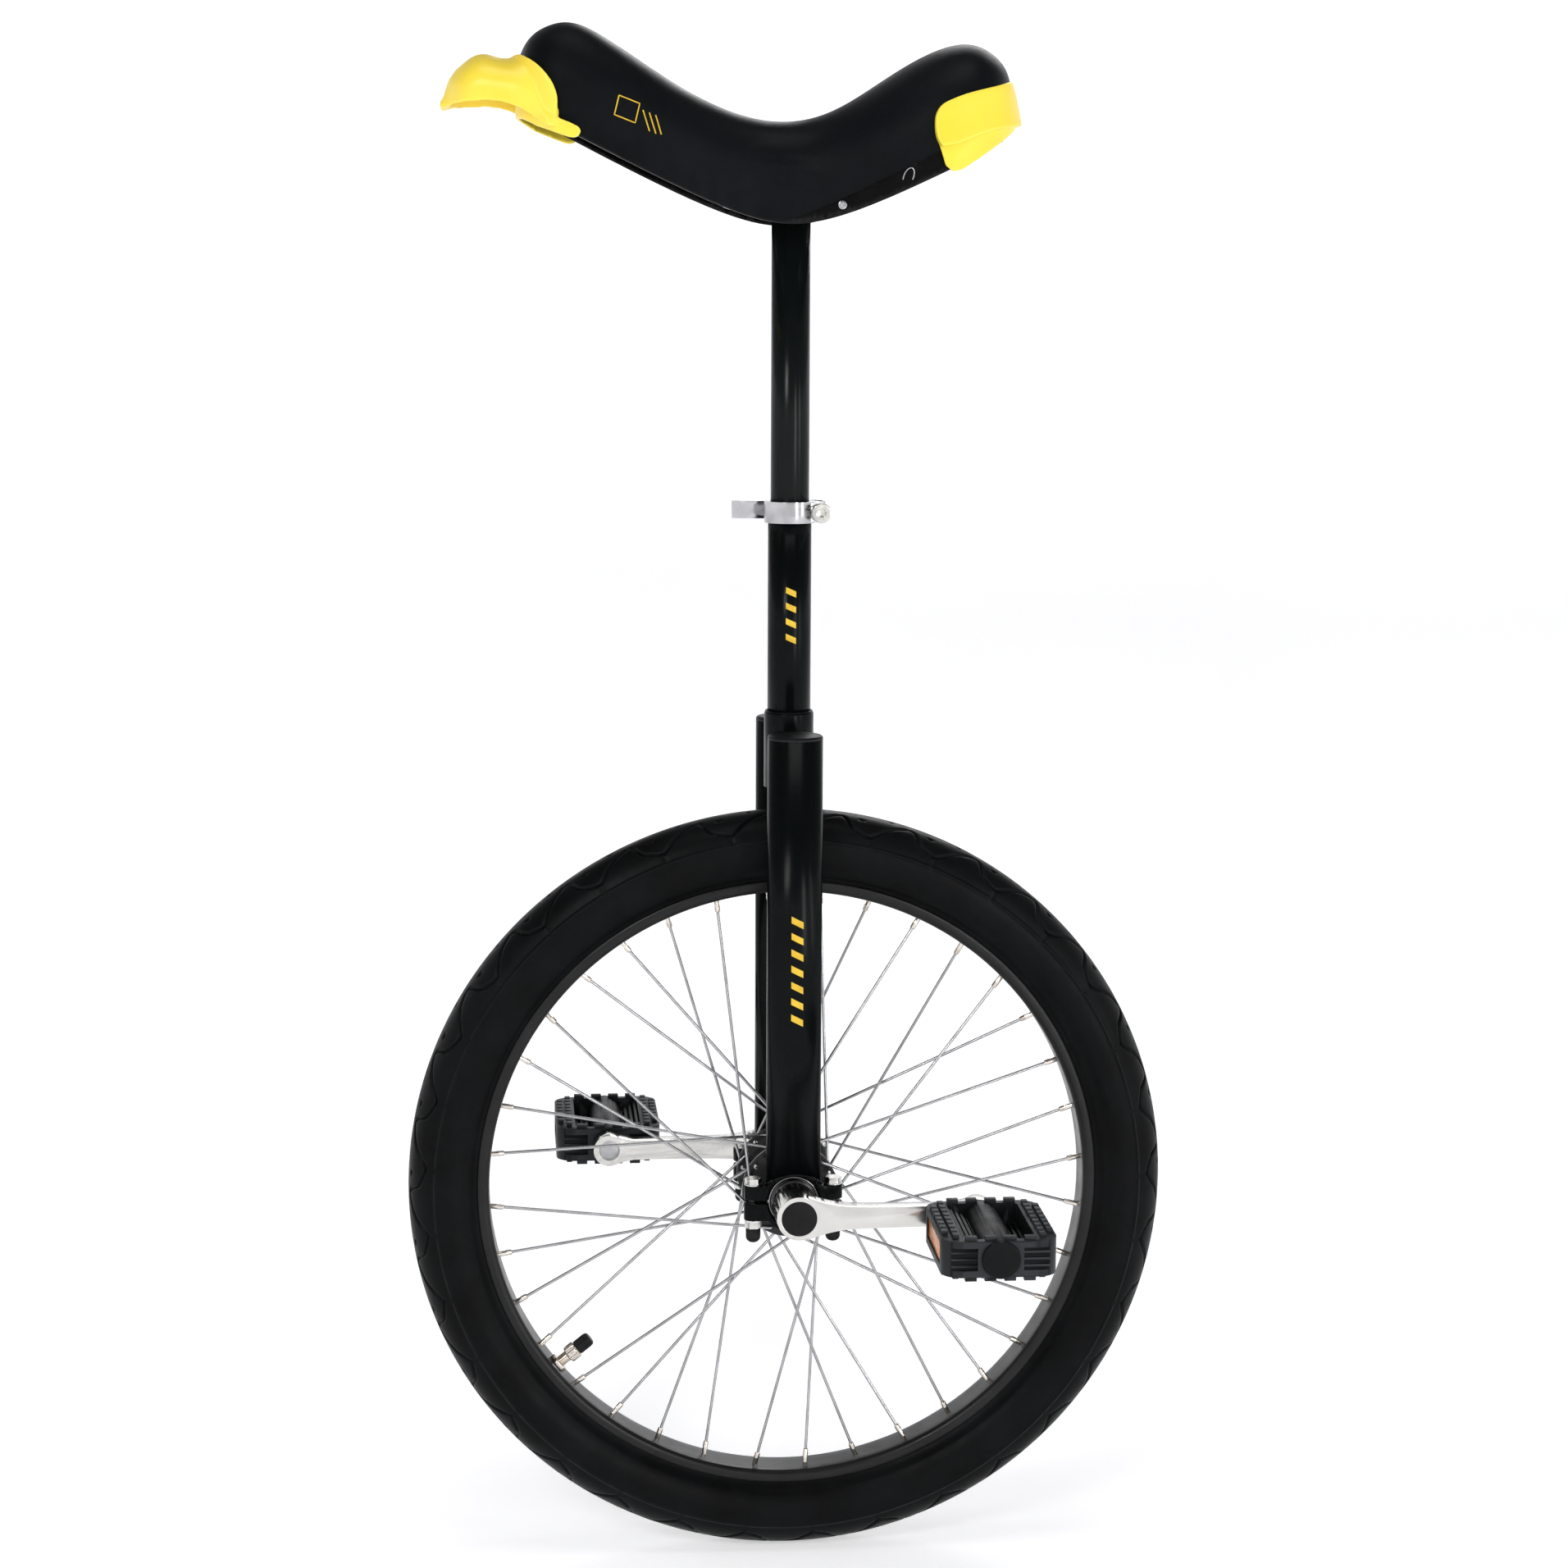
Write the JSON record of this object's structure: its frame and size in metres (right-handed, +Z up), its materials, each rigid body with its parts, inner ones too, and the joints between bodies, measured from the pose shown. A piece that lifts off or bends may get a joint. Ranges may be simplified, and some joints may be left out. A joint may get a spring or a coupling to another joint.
{
  "type": "unicycle",
  "caption": "Unicycle with a spoked pneumatic wheel, direct cranks and pedals, a two-leg fork, and a padded saddle with handle on a clamped post.",
  "frame": {"origin": "where the tyre meets the ground, straight under the axle", "axes": "+X forwards (the saddle's handle), +Y the rider's left, +Z up"},
  "size_m": [0.5088, 0.39, 1.0182],
  "materials": {
    "tyre_rubber": "black rubber, low sheen",
    "tube_rubber": "black butyl",
    "rim_black": "black anodised, satin",
    "rim_tape_rubber": "matt rubber band",
    "spoke_steel": "drawn wire, satin",
    "nickel_brass": "nickel plated",
    "black_plastic": "moulded, fine grain",
    "cap_plastic": "moulded, glossy",
    "hub_steel": "black, satin",
    "axle_steel": "ground",
    "bearing_steel": "ground and polished",
    "seal_rubber": "black",
    "crank_chrome": "chromed, satin faces and polished edges",
    "frame_paint": "gloss black enamel",
    "bolt_steel": "zinc plated",
    "post_steel": "gloss black enamel on steel",
    "clamp_chrome": "polished",
    "base_plastic": "moulded, fine grain",
    "foam": "open-cell polyurethane foam",
    "vinyl_cover": "smooth black vinyl",
    "yellow_plastic": "moulded, glossy",
    "amber_plastic": "clear amber prisms"
  },
  "bodies": {
    "frame": {"neck_tube": "frame_paint", "crown_sleeve": "frame_paint", "crown_bridges": "frame_paint", "fork_leg_left": "frame_paint", "fork_leg_right": "frame_paint", "leg_plugs": "black_plastic", "bearing_holder_left": "frame_paint", "bearing_holder_right": "frame_paint", "bearing_cap_left": "frame_paint", "bearing_cap_right": "frame_paint", "holder_bolts": "bolt_steel", "holder_nuts": "bolt_steel", "holder_nut_caps": "cap_plastic", "bearing_outer_rings": "bearing_steel", "bearing_seals": "seal_rubber", "seat_clamp_band": "clamp_chrome", "lever_barrel": "bolt_steel", "lever_washer": "black_plastic"},
    "wheel": {"tyre": "tyre_rubber", "inner_tube": "tube_rubber", "rim": "rim_black", "rim_tape": "rim_tape_rubber", "spokes": "spoke_steel", "nipples": "nickel_brass", "valve_stem": "nickel_brass", "valve_rim_nut": "nickel_brass", "valve_union_nut": "nickel_brass", "hub_shell": "hub_steel", "axle": "axle_steel", "hub_spacers": "axle_steel", "bearing_inner_rings": "bearing_steel", "bearing_balls": "bearing_steel", "crank_left": "crank_chrome", "crank_right": "crank_chrome", "crank_bolts": "bolt_steel", "dust_caps": "cap_plastic", "pedal_spindle_left": "axle_steel", "pedal_spindle_right": "axle_steel", "pedal_cones": "axle_steel", "pedal_balls": "bearing_steel"},
    "pedal_left": {"pedal_body_left": "black_plastic", "pedal_end_cap_left": "black_plastic", "pedal_reflectors_left": "amber_plastic"},
    "pedal_right": {"pedal_body_right": "black_plastic", "pedal_end_cap_right": "black_plastic", "pedal_reflectors_right": "amber_plastic"},
    "valve_cap": {"valve_cap": "cap_plastic"},
    "saddle": {"seat_post": "post_steel", "saddle_bracket": "frame_paint", "saddle_base": "base_plastic", "saddle_foam": "foam", "saddle_cover": "vinyl_cover", "saddle_studs": "bolt_steel", "saddle_nuts": "bolt_steel", "front_bumper": "yellow_plastic", "rear_bumper": "yellow_plastic"},
    "clamp_bolt": {"clamp_bolt": "bolt_steel"},
    "clamp_lever": {"clamp_lever": "clamp_chrome"}
  },
  "joints": [
    {"name": "wheel_spin", "type": "hinge", "parent": "frame", "child": "wheel", "pos_m": [0, 0, 0.2545], "axis": [0, 1, 0], "continuous": true},
    {"name": "pedal_left_spin", "type": "hinge", "parent": "wheel", "child": "pedal_left", "pos_m": [-0.117, 0.148, 0.2545], "axis": [0, 1, 0], "continuous": true},
    {"name": "pedal_right_spin", "type": "hinge", "parent": "wheel", "child": "pedal_right", "pos_m": [0.117, -0.148, 0.2545], "axis": [0, 1, 0], "continuous": true},
    {"name": "valve_cap_pull", "type": "slide", "parent": "wheel", "child": "valve_cap", "axis": [-0.7782, 0, 0.628], "range_m": [0, 0.01]},
    {"name": "saddle_height", "type": "slide", "parent": "frame", "child": "saddle", "axis": [0, 0, 1], "range_m": [-0.06, 0.055]},
    {"name": "clamp_bolt_turn", "type": "hinge", "parent": "frame", "child": "clamp_bolt", "pos_m": [-0.0196, 0, 0.7065], "axis": [0, 1, 0], "continuous": true},
    {"name": "clamp_lever_open", "type": "hinge", "parent": "frame", "child": "clamp_lever", "pos_m": [-0.0196, -0.0194, 0.7065], "axis": [0, 0, -1], "range_deg": [0, 110]}
  ]
}
